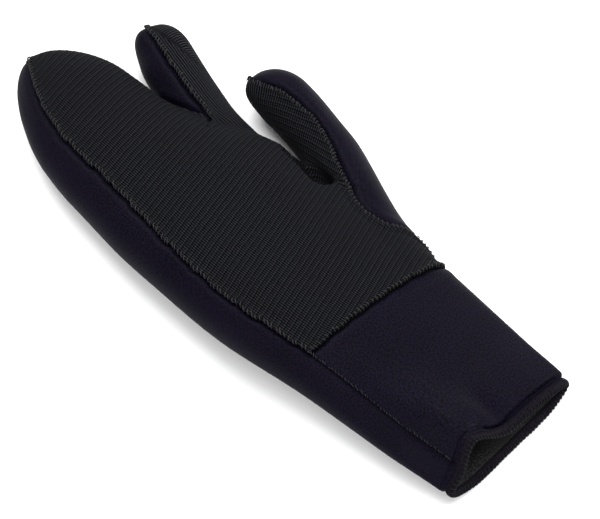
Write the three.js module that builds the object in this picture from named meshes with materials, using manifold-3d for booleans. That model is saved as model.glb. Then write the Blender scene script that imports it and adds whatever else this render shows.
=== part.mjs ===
// A right-hand three-finger mitt of thick foam rubber, lying on its back with the palm up.
// Millimetres. +Z is up out of the palm, +Y runs from the cuff to the finger tips and +X is
// the thumb side. The origin is under the middle of the mitt, on the surface it lies on.
import * as THREE from 'three';
import Module from 'manifold-3d';
import { mergeVertices } from 'three/addons/utils/BufferGeometryUtils.js';

// Sizes of the whole mitt
const WALL = 5;
const SEAM_GAP = 0.3;
const FLOOR = 0;
const RIM_Y = -160;
const RIM_PIVOT_Z = 12;
const ROLL_LENGTH = 5.6;
const ROLL_SWELL = 1.1;
const WRIST_SEAM = { ulnarX: -54, ulnarY: -71, radialX: 30, radialY: -79 };

// Rows of a table as objects, each value under its column's name from the first row
function namedRows([columns, ...rows]) {
  return rows.map((row) => Object.fromEntries(columns.map((column, i) => [column, row[i]])));
}

// Section tables, one row per cross-section. x is the middle of the section and half its half
// width. mid is the height of the widest line, up and down the rise above and the fall below
// it. lean tips the crown to the ulnar side, arch lifts a pleat there, slant pushes the section
// along Y with height, square is the roundness power (2 is an ellipse) and seam is the angle at
// which the smooth back panel meets the ribbed palm panel.
const BODY = namedRows([
  ['y', 'x', 'half', 'mid', 'up', 'down', 'lean', 'arch', 'slant', 'square', 'seam'],
  [-172, -13, 43, 8.6, 8.6, 9.6, 0, 12, 0.35, 2.3, 136],
  [-160, -13, 43, 8.6, 8.6, 9.6, 0, 12, 0.35, 2.3, 136],
  [-125, -15.2, 45.6, 14, 12, 15, 0.1, 6, 0.12, 2.3, 138],
  [-75, -16, 48.8, 18, 19, 20, 0.1, 0, 0, 2.3, 138],
  [-25, -17.5, 53, 20, 22, 22, 0.05, 0, 0, 2.3, 139],
  [20, -19, 50.2, 20, 22, 22, 0.05, 0, 0, 2.3, 135],
  [50, -23, 43.8, 19.5, 20.5, 21, 0, 0, 0, 2.3, 127.5],
  [82, -24.2, 37.8, 18.5, 18.5, 20, 0, 0, 0, 2.2, 124.5],
  [107, -21.6, 35, 17.5, 17, 18.5, 0, 0, 0, 2.2, 125],
  [132, -17, 30.5, 17, 15.5, 17, 0, 0, 0, 2.1, 124],
  [162, -13.2, 25.5, 17, 13, 13, 0, 0, 0, 2, 108],
]);
const INDEX = namedRows([
  ['y', 'x', 'half', 'mid', 'up', 'down', 'seam'],
  [0, 9, 13, 17, 13, 14, 92],
  [40, 16.5, 14.5, 15, 12.5, 14, 92],
  [65, 20.8, 14.6, 13.6, 12.8, 13.6, 92],
  [82, 25.2, 15.4, 13.6, 13.2, 13.6, 91],
  [107, 33.4, 17, 13.6, 13.5, 13.6, 92],
  [130.5, 42.4, 17.6, 13.6, 13.5, 13.6, 98],
]);
const THUMB = namedRows([
  ['y', 'x', 'half', 'mid', 'up', 'down', 'seam'],
  [-80, 14, 17, 17, 16, 16, 10],
  [-60, 19, 17, 17, 16, 17, 24],
  [-45, 23, 17.2, 17, 16.2, 17, 84],
  [-30, 29, 17.2, 16.8, 16.5, 17, 103],
  [-15, 36, 17, 16.5, 16.2, 16.5, 102],
  [0, 43, 16.5, 16, 15.5, 16, 98],
  [19, 50.1, 14.8, 15.5, 15, 15.5, 94],
  [50, 56.4, 14.6, 15, 14.5, 15, 106],
  [70, 59, 15.6, 15, 14, 14.5, 112],
]);
// Length over which each pocket rounds off to its tip, and the facets it is drawn with
const POCKETS = {
  body: { rows: BODY, cap: 44, around: 36, along: 15, capSteps: 6 },
  index: { rows: INDEX, cap: 18, around: 18, along: 7, capSteps: 4 },
  thumb: { rows: THUMB, cap: 20, around: 18, along: 8, capSteps: 4 },
};
// Where the pleat of the cuff's upper lip stands, as a share of the half width
const PLEAT = { crest: -0.5, width: 0.27 };

// Where the two fingers leave the palm: y at which the split starts and where it is complete
const INDEX_FORK = { starts: 48, ends: 68 };
const THUMB_FORK = { starts: -8, ends: 20 };
// Where the seam along the thumb side leaves the cuff and climbs on to the ball of the thumb
const THENAR = { starts: -90, ends: -60 };
// The seam surface between palm and back: its reach past the skin, its step along the mitt and
// its ends, where it dips below the crease beside the index finger, where it leaves the index
// finger low on the thumb side, how far it dips between them and under the thumb, and the shares
// of the way from palm to thumb at which its inner points lie before the fingers split
const PAST_SKIN = 16;
const CUT = { from: -200, to: 184, step: 8, top: 150 };
const CREASE = { z: 5, pastWall: 0.5 };
const INDEX_LOW = { degrees: -40, past: 5 };
const THUMB_GAP_Z = -14;
const UNDER_THUMB = 26;
const SHARES = [0.2, 0.28, 0.36, 0.45, 0.55, 0.65, 0.75];
// On the cuff the seam keeps this share of the way to the edge, and this height over it
const CUFF_EDGE = { share: 0.6, rise: 2 };
// Half width, far end, top and bottom of the region that holds the cuff, which also bounds the
// region that holds the thumb
const CUFF_REGION = { side: 130, end: -230, top: 90, bottom: -40 };
// Line on the back, x at each y, past which the back of the thumb lies
const THUMB_ROOT = namedRows([
  ['y', 'x'],
  [-88, 38],
  [-74, 25],
  [-40, 27],
  [0, 33],
  [20, 36],
  [60, 38],
  [71, 42],
  [78, 60],
  [100, 80],
]);
// Hollow between the palm and the root of the thumb: a rounded trough between two middles
const ROOT_HOLLOW = { from: [33, 22, 38], to: [25.5, -3, 37], radius: 8.5, facets: 28 };
// Facets round the hem roll and round its section
const ROLL_FACETS = { around: 36, profile: 8 };
// How far the hollow runs on past the opening
const HOLLOW_PAST_RIM = 12;
// Edge length below which a cut edge closes up
const SLIVER = 0.03;

const FABRIC = {
  smooth: { color: '#24222c', roughness: 0.82, metalness: 0 },
  ribbed: { color: '#26272b', roughness: 0.93, metalness: 0 },
  roll: { color: '#1f1e25', roughness: 0.88, metalness: 0 },
};

const wasm = await Module();
wasm.setup();

// Value of one column at y: a smooth curve through the rows, without overshoot
function column(rows, key, y) {
  const last = rows.length - 1;
  const slopes = rows.slice(1).map((row, i) => (row[key] - rows[i][key]) / (row.y - rows[i].y));
  const tangent = (i) => {
    if (i === 0) return slopes[0];
    if (i === last) return slopes[last - 1];
    const product = slopes[i - 1] * slopes[i];
    return product <= 0 ? 0 : (2 * product) / (slopes[i - 1] + slopes[i]);
  };
  let i = 0;
  while (i < last - 1 && y > rows[i + 1].y) i += 1;
  const span = rows[i + 1].y - rows[i].y;
  const t = THREE.MathUtils.clamp((y - rows[i].y) / span, 0, 1);
  return (1 + 2 * t) * (1 - t) ** 2 * rows[i][key]
    + t * (1 - t) ** 2 * span * tangent(i)
    + t * t * (3 - 2 * t) * rows[i + 1][key]
    + t * t * (t - 1) * span * tangent(i + 1);
}

function tipY(pocket, inset) {
  return pocket.rows[pocket.rows.length - 1].y - inset;
}

// Share of the full section left at y, falling to nothing at the tip
function capShare(pocket, y, inset) {
  const start = tipY(pocket, inset) - pocket.cap;
  const t = THREE.MathUtils.clamp((y - start) / pocket.cap, 0, 1);
  return Math.sqrt(Math.max(0, 1 - t * t));
}

// One point of a cross-section, inset from the outer skin; the underside rests flat
function skinPoint(pocket, y, degrees, inset) {
  const rows = pocket.rows;
  const read = (key) => (rows[0][key] === undefined ? 0 : column(rows, key, y));
  const share = capShare(pocket, y, inset);
  const power = 2 / (read('square') || 2);
  const across = Math.cos(THREE.MathUtils.degToRad(degrees));
  const rise = Math.sin(THREE.MathUtils.degToRad(degrees));
  const pleat = read('arch') * Math.exp(-(((across - PLEAT.crest) / PLEAT.width) ** 2));
  const up = (read('up') - inset) * (1 - read('lean') * across) + pleat;
  const reach = rise > 0 ? up : read('down') - inset;
  const half = read('half') - inset;
  const x = read('x') + half * share * Math.sign(across) * Math.abs(across) ** power;
  const z = read('mid') + reach * share * Math.sign(rise) * Math.abs(rise) ** power;
  const rested = Math.max(z, FLOOR + Math.max(inset, 0));
  return new THREE.Vector3(x, y + read('slant') * (rested - RIM_PIVOT_Z), rested);
}

// Closed solid from rings of points, each ring counter-clockwise seen from -Y
function loftRings(rings) {
  const count = rings[0].length;
  const points = rings.flat();
  const total = (ring) => ring.reduce((sum, p) => sum.add(p), new THREE.Vector3());
  const middle = (ring) => total(ring).divideScalar(count);
  const startMiddle = points.push(middle(rings[0])) - 1;
  const endMiddle = points.push(middle(rings[rings.length - 1])) - 1;
  const faces = [];
  for (let r = 0; r < rings.length - 1; r += 1) {
    for (let k = 0; k < count; k += 1) {
      const a = r * count + k;
      const b = r * count + ((k + 1) % count);
      faces.push(a, b + count, b, a, a + count, b + count);
    }
  }
  const base = (rings.length - 1) * count;
  for (let k = 0; k < count; k += 1) {
    const next = (k + 1) % count;
    faces.push(startMiddle, k, next);
    faces.push(endMiddle, base + next, base + k);
  }
  return solidFrom(points, faces);
}

function solidFrom(points, faces) {
  const geometry = new THREE.BufferGeometry();
  const numbers = points.flatMap((p) => [p.x, p.y, p.z]);
  geometry.setAttribute('position', new THREE.Float32BufferAttribute(numbers, 3));
  geometry.setIndex(faces);
  const merged = mergeVertices(geometry, 1e-4);
  const solid = new wasm.Manifold(new wasm.Mesh({
    numProp: 3,
    vertProperties: new Float32Array(merged.attributes.position.array),
    triVerts: new Uint32Array(merged.index.array),
  }));
  return solid;
}

// Pocket of one finger or of the palm, at a given depth below the outer skin
function pocketSolid(pocket, inset, openEnd) {
  const tip = tipY(pocket, inset);
  const start = openEnd ?? pocket.rows[0].y;
  const capStart = tip - pocket.cap;
  const levels = [];
  for (let i = 0; i < pocket.along; i += 1) {
    levels.push(start + ((capStart - start) * i) / pocket.along);
  }
  for (let i = 0; i < pocket.capSteps; i += 1) {
    levels.push(capStart + pocket.cap * Math.sin((Math.PI / 2) * (i / pocket.capSteps)));
  }
  levels.push(tip - 0.25);
  const rings = levels.map((y) => Array.from({ length: pocket.around }, (_, k) => (
    skinPoint(pocket, y, (360 * k) / pocket.around, inset)
  )));
  return loftRings(rings);
}

// Middle of one pocket at y, with its seam as a point on the skin
function sectionAt(pocket, y) {
  const limited = Math.min(y, tipY(pocket, 0) - 1);
  const read = (key) => column(pocket.rows, key, limited);
  const middle = new THREE.Vector2(read('x'), read('mid'));
  const skin = skinPoint(pocket, limited, read('seam'), 0);
  const seam = new THREE.Vector2(skin.x, skin.z);
  const lowSkin = skinPoint(pocket, limited, INDEX_LOW.degrees, 0);
  const low = new THREE.Vector2(lowSkin.x, lowSkin.z);
  return { middle, seam, low, half: read('half') };
}

// Point on the line from a through b, carried a further reach past b
function beyond(a, b, reach) {
  return b.clone().add(b.clone().sub(a).setLength(reach));
}

// Surface between palm and back, drawn across the mitt at one y from the ulnar to the thumb side
function seamPath(y, shift) {
  const body = sectionAt(POCKETS.body, y);
  const index = sectionAt(POCKETS.index, y);
  const thumb = sectionAt(POCKETS.thumb, y);
  const onCuff = 1 - THREE.MathUtils.smoothstep(y, THENAR.starts, THENAR.ends);
  const edge = body.middle.clone().setX(body.middle.x + body.half);
  thumb.middle.lerp(body.middle.clone().lerp(edge, CUFF_EDGE.share), onCuff);
  thumb.seam.lerp(edge.clone().add(new THREE.Vector2(0, CUFF_EDGE.rise)), onCuff);
  const inner = SHARES.map((share) => body.middle.clone().lerp(thumb.middle, share));
  const indexSplit = THREE.MathUtils.smoothstep(y, INDEX_FORK.starts, INDEX_FORK.ends);
  const thumbSplit = THREE.MathUtils.smoothstep(y, THUMB_FORK.starts, THUMB_FORK.ends);
  const radialWall = body.middle.x + body.half;
  const indexWall = index.middle.x - index.half;
  const creaseX = Math.max((radialWall + indexWall) / 2, radialWall + CREASE.pastWall);
  const gapX = (index.middle.x + index.half + thumb.middle.x - thumb.half) / 2;
  const pastLow = beyond(index.middle, index.low, INDEX_LOW.past);
  const gap = new THREE.Vector2(Math.max(gapX, pastLow.x), THUMB_GAP_Z);
  const under = thumb.middle.clone().add(thumb.middle.clone().sub(thumb.seam).setLength(UNDER_THUMB));
  const path = [
    beyond(body.middle, body.seam, PAST_SKIN),
    body.seam,
    body.middle,
    inner[0].lerp(new THREE.Vector2(creaseX, CREASE.z), indexSplit),
    inner[1].lerp(new THREE.Vector2(creaseX, index.seam.y + PAST_SKIN - 2), indexSplit),
    inner[2].lerp(beyond(index.middle, index.seam, PAST_SKIN), indexSplit),
    inner[3].lerp(index.seam, indexSplit),
    inner[4].lerp(index.middle, indexSplit),
    inner[5].lerp(pastLow, thumbSplit),
    inner[6].clone().lerp(gap, thumbSplit),
    inner[6].lerp(under, thumbSplit),
    thumb.middle,
    thumb.seam,
    beyond(thumb.middle, thumb.seam, PAST_SKIN),
  ];
  return path.map((point, i) => {
    const before = path[Math.max(0, i - 1)];
    const after = path[Math.min(path.length - 1, i + 1)];
    const along = after.clone().sub(before).normalize();
    return new THREE.Vector2(point.x - along.y * shift, point.y + along.x * shift);
  });
}

// Everything on the palm side of the seam surface
function palmSide(shift) {
  const rings = [];
  for (let y = CUT.from; y <= CUT.to; y += CUT.step) {
    const path = seamPath(y, shift);
    const last = path[path.length - 1];
    const roof = [new THREE.Vector2(last.x, CUT.top), new THREE.Vector2(path[0].x, CUT.top)];
    const outline = [...path, ...roof];
    rings.push(outline.map((p) => new THREE.Vector3(p.x, y, p.y)));
  }
  return loftRings(rings);
}

// Box-like region on the cuff side of the slanted wrist seam
function cuffSide(shift) {
  const { ulnarX, ulnarY, radialX, radialY } = WRIST_SEAM;
  const slope = (radialY - ulnarY) / (radialX - ulnarX);
  const line = (x) => ulnarY + slope * (x - ulnarX) + shift;
  const { side, end, top, bottom } = CUFF_REGION;
  const corners = (z) => [
    new THREE.Vector3(-side, end, z),
    new THREE.Vector3(side, end, z),
    new THREE.Vector3(side, line(side), z),
    new THREE.Vector3(-side, line(-side), z),
  ];
  return loftRings([corners(top), corners(bottom)]);
}

// Everything on the thumb side of the line at the root of the thumb
function thumbSide(shift) {
  const { side, top, bottom } = CUFF_REGION;
  return loftRings(THUMB_ROOT.map(({ y, x }) => [
    new THREE.Vector3(x + shift, y, bottom),
    new THREE.Vector3(side, y, bottom),
    new THREE.Vector3(side, y, top),
    new THREE.Vector3(x + shift, y, top),
  ]));
}

// Rolled hem round the opening: an oval cord that follows the end of the wall
function hemRoll() {
  const { around, profile } = ROLL_FACETS;
  const centreY = RIM_Y + ROLL_LENGTH / 2;
  const points = [];
  const faces = [];
  for (let k = 0; k < around; k += 1) {
    for (let j = 0; j < profile; j += 1) {
      const turn = (2 * Math.PI * j) / profile;
      const inset = WALL / 2 + (WALL / 2 + ROLL_SWELL) * Math.cos(turn);
      const y = centreY + (ROLL_LENGTH / 2) * Math.sin(turn);
      points.push(skinPoint(POCKETS.body, y, (360 * k) / around, inset));
      const a = k * profile + j;
      const b = k * profile + ((j + 1) % profile);
      const c = ((k + 1) % around) * profile + j;
      const d = ((k + 1) % around) * profile + ((j + 1) % profile);
      faces.push(a, d, b, a, c, d);
    }
  }
  return solidFrom(points, faces);
}

function mainBody(solid) {
  return solid.decompose().sort((a, b) => b.volume() - a.volume())[0];
}

function rootHollow(inset) {
  const ball = wasm.Manifold.sphere(ROOT_HOLLOW.radius + inset, ROOT_HOLLOW.facets);
  return wasm.Manifold.hull([ball.translate(ROOT_HOLLOW.from), ball.translate(ROOT_HOLLOW.to)]);
}

const openEnd = RIM_Y + ROLL_LENGTH + SEAM_GAP;
const beyondOpening = RIM_Y - HOLLOW_PAST_RIM;
const outer = pocketSolid(POCKETS.body, 0, openEnd)
  .add(pocketSolid(POCKETS.index, 0))
  .add(pocketSolid(POCKETS.thumb, 0))
  .subtract(rootHollow(0));
const hollow = pocketSolid(POCKETS.body, WALL, beyondOpening)
  .add(pocketSolid(POCKETS.index, WALL))
  .add(pocketSolid(POCKETS.thumb, WALL))
  .subtract(rootHollow(WALL));
const shell = outer.subtract(hollow);
const palmAndCuff = shell.intersect(palmSide(SEAM_GAP / 2));
const wholeBack = mainBody(shell.subtract(palmSide(-SEAM_GAP / 2)));
const backSolid = mainBody(wholeBack.subtract(thumbSide(-SEAM_GAP / 2)));
const thumbBackSolid = mainBody(wholeBack.intersect(thumbSide(SEAM_GAP / 2)));
const palmSolid = mainBody(palmAndCuff.subtract(cuffSide(SEAM_GAP / 2)));
const cuffSolid = mainBody(palmAndCuff.intersect(cuffSide(-SEAM_GAP / 2)));

// Corners and faces of a cut panel without the slivers that the cuts leave: an edge shorter
// than SLIVER closes up, and a flat needle gives its long side to its neighbour
function withoutSlivers(mesh) {
  const corners = [];
  for (let i = 0; i < mesh.vertProperties.length; i += 3) {
    corners.push(new THREE.Vector3().fromArray(mesh.vertProperties, i));
  }
  let faces = [];
  for (let i = 0; i < mesh.triVerts.length; i += 3) {
    faces.push(Array.from(mesh.triVerts.slice(i, i + 3)));
  }
  let changed = true;
  for (let pass = 0; changed && pass < 12; pass += 1) {
    changed = false;
    const facesAt = corners.map(() => new Set());
    faces.forEach((face, f) => face.forEach((c) => facesAt[c].add(f)));
    const around = (c) => new Set([...facesAt[c]].flatMap((f) => faces[f]).filter((other) => other !== c));
    const busy = new Set();
    faces.forEach((face, f) => {
      const side = [0, 1, 2].map((k) => corners[face[k]].distanceTo(corners[face[(k + 1) % 3]]));
      const area = new THREE.Triangle(...face.map((c) => corners[c])).getArea();
      const longest = side.indexOf(Math.max(...side));
      const shortest = side.indexOf(Math.min(...side));
      if ((2 * area) / side[longest] > SLIVER && side[shortest] > SLIVER) return;
      const [a, b, c] = [0, 1, 2].map((k) => face[(longest + k) % 3]);
      const [keep, drop] = [face[shortest], face[(shortest + 1) % 3]];
      const near = new Set([f, ...facesAt[a], ...facesAt[b], ...facesAt[c]]);
      if ([...near].some((other) => busy.has(other))) return;
      const shared = [...around(keep)].filter((other) => around(drop).has(other));
      if (side[shortest] < 2 * SLIVER && shared.length === 2) {
        facesAt[drop].forEach((other) => {
          faces[other] = faces[other].map((corner) => (corner === drop ? keep : corner));
        });
      } else {
        const g = [...facesAt[a]].find((other) => other !== f && facesAt[b].has(other));
        const d = faces[g].find((corner) => corner !== a && corner !== b);
        if (around(c).has(d)) return;
        faces[f] = [a, d, c];
        faces[g] = [d, b, c];
      }
      near.forEach((other) => busy.add(other));
      changed = true;
    });
    faces = faces.filter((face) => new Set(face).size === 3);
  }
  return { corners, faces: faces.flat() };
}

function meshOf(name, solid, fabric) {
  const { corners, faces } = withoutSlivers(solid.getMesh());
  const geometry = new THREE.BufferGeometry().setFromPoints(corners);
  geometry.setIndex(faces);
  geometry.computeVertexNormals();
  const mesh = new THREE.Mesh(geometry, new THREE.MeshStandardMaterial(fabric));
  mesh.name = name;
  return mesh;
}

const mitt = new THREE.Group();
mitt.name = 'diving_mitt';
mitt.add(meshOf('palm_panel', palmSolid, FABRIC.ribbed));
mitt.add(meshOf('back_panel', backSolid, FABRIC.smooth));
mitt.add(meshOf('back_panel_thumb', thumbBackSolid, FABRIC.smooth));
mitt.add(meshOf('cuff_panel', cuffSolid, FABRIC.smooth));
mitt.add(meshOf('cuff_roll', hemRoll(), FABRIC.roll));

const middle = new THREE.Box3().setFromObject(mitt).getCenter(new THREE.Vector3());
mitt.children.forEach((piece) => piece.geometry.translate(-middle.x, -middle.y, 0));

export default mitt;
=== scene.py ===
"""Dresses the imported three-finger diving mitt: foam panels with their knits, sewn seams, rolled hem.

Sizes in the tables are millimetres in the pattern's own axes: +X to the thumb side, +Y from the
cuff to the finger tips, +Z up out of the palm. The mitt lies on its back.
"""
import math

import bpy
import numpy as np
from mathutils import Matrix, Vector
from mathutils.kdtree import KDTree


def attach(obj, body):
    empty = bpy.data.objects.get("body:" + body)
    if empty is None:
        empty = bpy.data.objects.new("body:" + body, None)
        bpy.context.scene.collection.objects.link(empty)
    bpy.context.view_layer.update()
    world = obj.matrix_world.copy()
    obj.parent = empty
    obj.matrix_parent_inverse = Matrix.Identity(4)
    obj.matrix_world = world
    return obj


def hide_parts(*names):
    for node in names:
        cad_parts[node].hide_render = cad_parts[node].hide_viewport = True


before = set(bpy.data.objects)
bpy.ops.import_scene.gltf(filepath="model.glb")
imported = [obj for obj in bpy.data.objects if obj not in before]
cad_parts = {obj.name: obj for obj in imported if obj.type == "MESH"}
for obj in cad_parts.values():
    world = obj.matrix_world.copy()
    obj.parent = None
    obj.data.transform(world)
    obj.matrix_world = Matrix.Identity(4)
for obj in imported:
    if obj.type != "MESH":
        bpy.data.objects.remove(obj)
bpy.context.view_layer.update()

bl_info = {
    "name": "Three-finger diving mitt",
    "version": (1, 0, 0),
    "blender": (4, 5, 0),
    "location": "3D View > Sidebar > Mitt",
    "description": "Builds the foam panels, seams, hem and stitches of a diving mitt",
    "category": "Object",
}

MM = 0.001
# The middle of the mitt's box in the pattern's axes, which is the frame's origin
PATTERN_ORIGIN = np.array([0.3475, -0.8131, 0.0])


# ---- The pattern's sections ------------------------------------------------------------------

def table(columns, *rows):
    """Columns of numbers by name, from rows of one cross-section each."""
    return {name: np.array([row[i] for row in rows], float) for i, name in enumerate(columns.split())}


BODY = table(
    "y x half mid up down lean arch slant square seam",
    (-172, -13, 43, 8.6, 8.6, 9.6, 0, 12, 0.35, 2.3, 136),
    (-160, -13, 43, 8.6, 8.6, 9.6, 0, 12, 0.35, 2.3, 136),
    (-125, -15.2, 45.6, 14, 12, 15, 0.1, 6, 0.12, 2.3, 138),
    (-75, -16, 48.8, 18, 19, 20, 0.1, 0, 0, 2.3, 138),
    (-25, -17.5, 53, 20, 22, 22, 0.05, 0, 0, 2.3, 139),
    (20, -19, 50.2, 20, 22, 22, 0.05, 0, 0, 2.3, 135),
    (50, -23, 43.8, 19.5, 20.5, 21, 0, 0, 0, 2.3, 127.5),
    (82, -24.2, 37.8, 18.5, 18.5, 20, 0, 0, 0, 2.2, 124.5),
    (107, -21.6, 35, 17.5, 17, 18.5, 0, 0, 0, 2.2, 125),
    (132, -17, 30.5, 17, 15.5, 17, 0, 0, 0, 2.1, 124),
    (162, -13.2, 25.5, 17, 13, 13, 0, 0, 0, 2, 108),
)
INDEX = table(
    "y x half mid up down seam",
    (0, 9, 13, 17, 13, 14, 92),
    (40, 16.5, 14.5, 15, 12.5, 14, 92),
    (65, 20.8, 14.6, 13.6, 12.8, 13.6, 97),
    (82, 25.8, 15.2, 13.6, 13.2, 13.6, 101),
    (107, 34.2, 15.9, 13.6, 13.5, 13.6, 103),
    (132.5, 43.2, 16.8, 13.6, 13.5, 13.6, 104),
)
THUMB = table(
    "y x half mid up down seam",
    (-80, 14, 17, 17, 16, 16, -8),
    (-60, 19, 17, 17, 16, 17, 32),
    (-45, 23, 17.2, 17, 16.2, 17, 84),
    (-30, 29, 17.2, 16.8, 16.5, 17, 103),
    (-15, 36, 17, 16.5, 16.2, 16.5, 102),
    (0, 43, 16.5, 16, 15.5, 16, 98),
    (19, 50.6, 14.2, 15.5, 15, 15.5, 94),
    (50, 57.4, 14.4, 15, 14.5, 15, 108),
    (70, 58.6, 15, 15, 14, 14.5, 134),
)
POCKETS = {"body": BODY, "index": INDEX, "thumb": THUMB}
# Length over which each pocket rounds off to its tip, and the index finger and thumb to their roots
CAPS = {"body": 44, "index": 23, "thumb": 23}
ROOT_CAP = 14
# Arch of the cuff's opening: where it stands highest, as the cosine round the section, and its width
PLEAT = {"crest": -0.5, "width": 0.27}
# Edge of the cuff, the height that its slanting sections turn about, and the length of the hem
RIM_Y, RIM_PIVOT_Z, ROLL_LENGTH = -160.0, 12.0, 5.6
CUT_Y = RIM_Y + ROLL_LENGTH * 0.5  # the panels end inside the hem
# Stretches of y where the seam leaves the hand for the index finger, the thumb and the cuff
INDEX_FORK, THUMB_FORK, THENAR = (48, 68), (-8, 20), (-90, -60)
# Ends of the wrist seam, in x and y
WRIST = {"ulnar": (-54, -71), "radial": (30, -79)}
# How far the seam surface runs past the skin, past the index finger's underside, and under the
# thumb, and its height in the gap between the two
PAST_SKIN, PAST_UNDERSIDE, UNDER_THUMB, GAP_Z = 16, 5, 26, -14
# Where the seam surface's inner points lie between the middles of hand and thumb
SHARES = (0.2, 0.28, 0.36, 0.45, 0.55, 0.65, 0.75)


def smoothstep(value, start, end):
    t = np.clip((value - start) / (end - start), 0, 1)
    return t * t * (3 - 2 * t)


def hump(value, middle, width):
    return np.exp(-(((value - middle) / width) ** 2))


def signed_power(value, power):
    return np.sign(value) * np.abs(value) ** power


def unit(ways):
    return ways / np.linalg.norm(ways, axis=-1, keepdims=True)


def column(rows, key, y):
    """Value of one column at y: a smooth curve through the rows, without overshoot."""
    ys, values = rows["y"], rows[key]
    slope = np.diff(values) / np.diff(ys)
    product = slope[:-1] * slope[1:]
    total = np.where(product > 0, slope[:-1] + slope[1:], 1)
    tangent = np.concatenate([slope[:1], np.where(product > 0, 2 * product / total, 0), slope[-1:]])
    y = np.clip(y, ys[0], ys[-1])
    i = np.clip(np.searchsorted(ys, y, side="right") - 1, 0, len(ys) - 2)
    span = ys[i + 1] - ys[i]
    t = (y - ys[i]) / span
    return (
        (1 + 2 * t) * (1 - t) ** 2 * values[i]
        + t * (1 - t) ** 2 * span * tangent[i]
        + t * t * (3 - 2 * t) * values[i + 1]
        + t * t * (t - 1) * span * tangent[i + 1]
    )


def section(rows, y):
    """Half width, middle, reach up, reach down and roundness power of a section."""
    power = column(rows, "square", y) if "square" in rows else 2.0
    return *(column(rows, key, y) for key in ("half", "mid", "up", "down")), power


def arched(rows, y, up, c):
    """Reach up of the hand's section at the cosine c: it leans over, and arches by the opening."""
    pleat = column(rows, "arch", y) * hump(c, PLEAT["crest"], PLEAT["width"])
    return up * (1 - column(rows, "lean", y) * c) + pleat


def own_y(y, z):
    """The y of the section that a point of the hand belongs to: the cuff's sections lean."""
    own = y + 0 * z
    for _ in range(4):
        own = y - column(BODY, "slant", own) * (np.maximum(z, 0) - RIM_PIVOT_Z)
    return own


def pocket_distance(name, x, y, z):
    """Distance to one pocket's skin in mm, about, and negative inside."""
    rows, cap = POCKETS[name], CAPS[name]
    if "slant" in rows:
        y = own_y(y, z)
    half, mid, up, down, power = section(rows, y)
    t = np.clip((y - (rows["y"][-1] - cap)) / cap, 0, 1.4)
    if name != "body":
        t = t + np.clip((rows["y"][0] + ROOT_CAP - y) / ROOT_CAP, 0, 1.4)
    share = np.sqrt(np.maximum(1 - t * t, 0.04))
    u = (x - column(rows, "x", y)) / half
    if "lean" in rows:
        up = arched(rows, y, up, signed_power(np.clip(u / share, -1, 1), power / 2))
    reach = np.where(z > mid, up, down)
    au, aw = np.abs(u) + 1e-6, np.abs(z - mid) / reach + 1e-6
    total = au**power + aw**power
    rho = np.sqrt(total ** (2 / power) + t * t)
    fall = total ** (2 / power - 1)
    gx, gz = fall * au ** (power - 1) / half, fall * aw ** (power - 1) / reach
    slope = np.sqrt(gx * gx + gz * gz + (t / cap) ** 2) / rho
    return (rho - 1) / np.maximum(slope, 0.012)


def joined(a, b, width):
    """Lower of two distances, with a fillet of that width where they meet."""
    h = np.clip(0.5 + 0.5 * (b - a) / width, 0, 1)
    return b * (1 - h) + a * h - width * h * (1 - h)


# Soft swellings, and dents below 0, of the skin: middle, reach along x, y and z, and height in mm
SWELLS = (
    (33.5, 129, 21, 8, 9, 11, 4.4),  # index tip, towards the large pocket
    (48, 66.5, 21, 8, 9, 11, 3.8),  # thumb tip, towards the index finger
    (30, -148, 9, 8, 14, 9, 1.2),  # thumb edge of the cuff, by the hem
    (-14, -150, 22, 6, 12, 8, -2.5),  # fold beside the arch of the opening
    (-25, -149, 24, 7, 11, 8, 1.8),  # fullness beside that fold
    (-40, -128, 22, 12, 16, 10, 0.8),  # fullness behind the arch
    (4, -132, 20, 16, 16, 10, -0.9),  # flattened middle of the cuff
    (8, 6, 38, 9, 12, 8, 0.9),  # rounded lip of the palm over the hollow at the thumb
)
# Hollow between the palm and the root of the thumb: a rounded trough along a line, open at the top
ROOT_HOLLOW = {"start": (30.8, 18, 28), "end": (25.4, -4.8, 23), "radius": 6.2}


def root_hollow(x, y, z):
    """Distance to the trough at the root of the thumb."""
    start, end = (np.array(ROOT_HOLLOW[key], float) for key in ("start", "end"))
    way = end - start
    share = np.clip(((x - start[0]) * way[0] + (y - start[1]) * way[1]) / (way[:2] @ way[:2]), 0, 1)
    away = [v - start[k] - share * way[k] for k, v in enumerate((x, y, z))]
    return np.sqrt(away[0] ** 2 + away[1] ** 2 + np.minimum(away[2], 0) ** 2) - ROOT_HOLLOW["radius"]


def skin(x, y, z, depth=0.0):
    """Distance to the mitt's skin, or to the face that lies depth mm under it."""
    hand = pocket_distance("body", x, y, z)
    index = pocket_distance("index", x, y, z)
    thumb = pocket_distance("thumb", x, y, z)
    shape = joined(hand, index, 2.5 + 9 * (1 - smoothstep(y, 30, 62)))
    shape = joined(shape, thumb, 3 + 3 * hump(y, -4, 14))
    shape = -joined(-shape, root_hollow(x, y, z), 3.0)
    for sx, sy, sz, rx, ry, rz, height in SWELLS:
        away = ((x - sx) / rx) ** 2 + ((y - sy) / ry) ** 2 + ((z - sz) / rz) ** 2
        shape = shape - height * np.exp(-away)
    return -joined(-(shape + depth), -(depth - z), 2.0)


# ---- The seam surface between the ribbed palm and the smooth back ------------------------------

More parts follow.
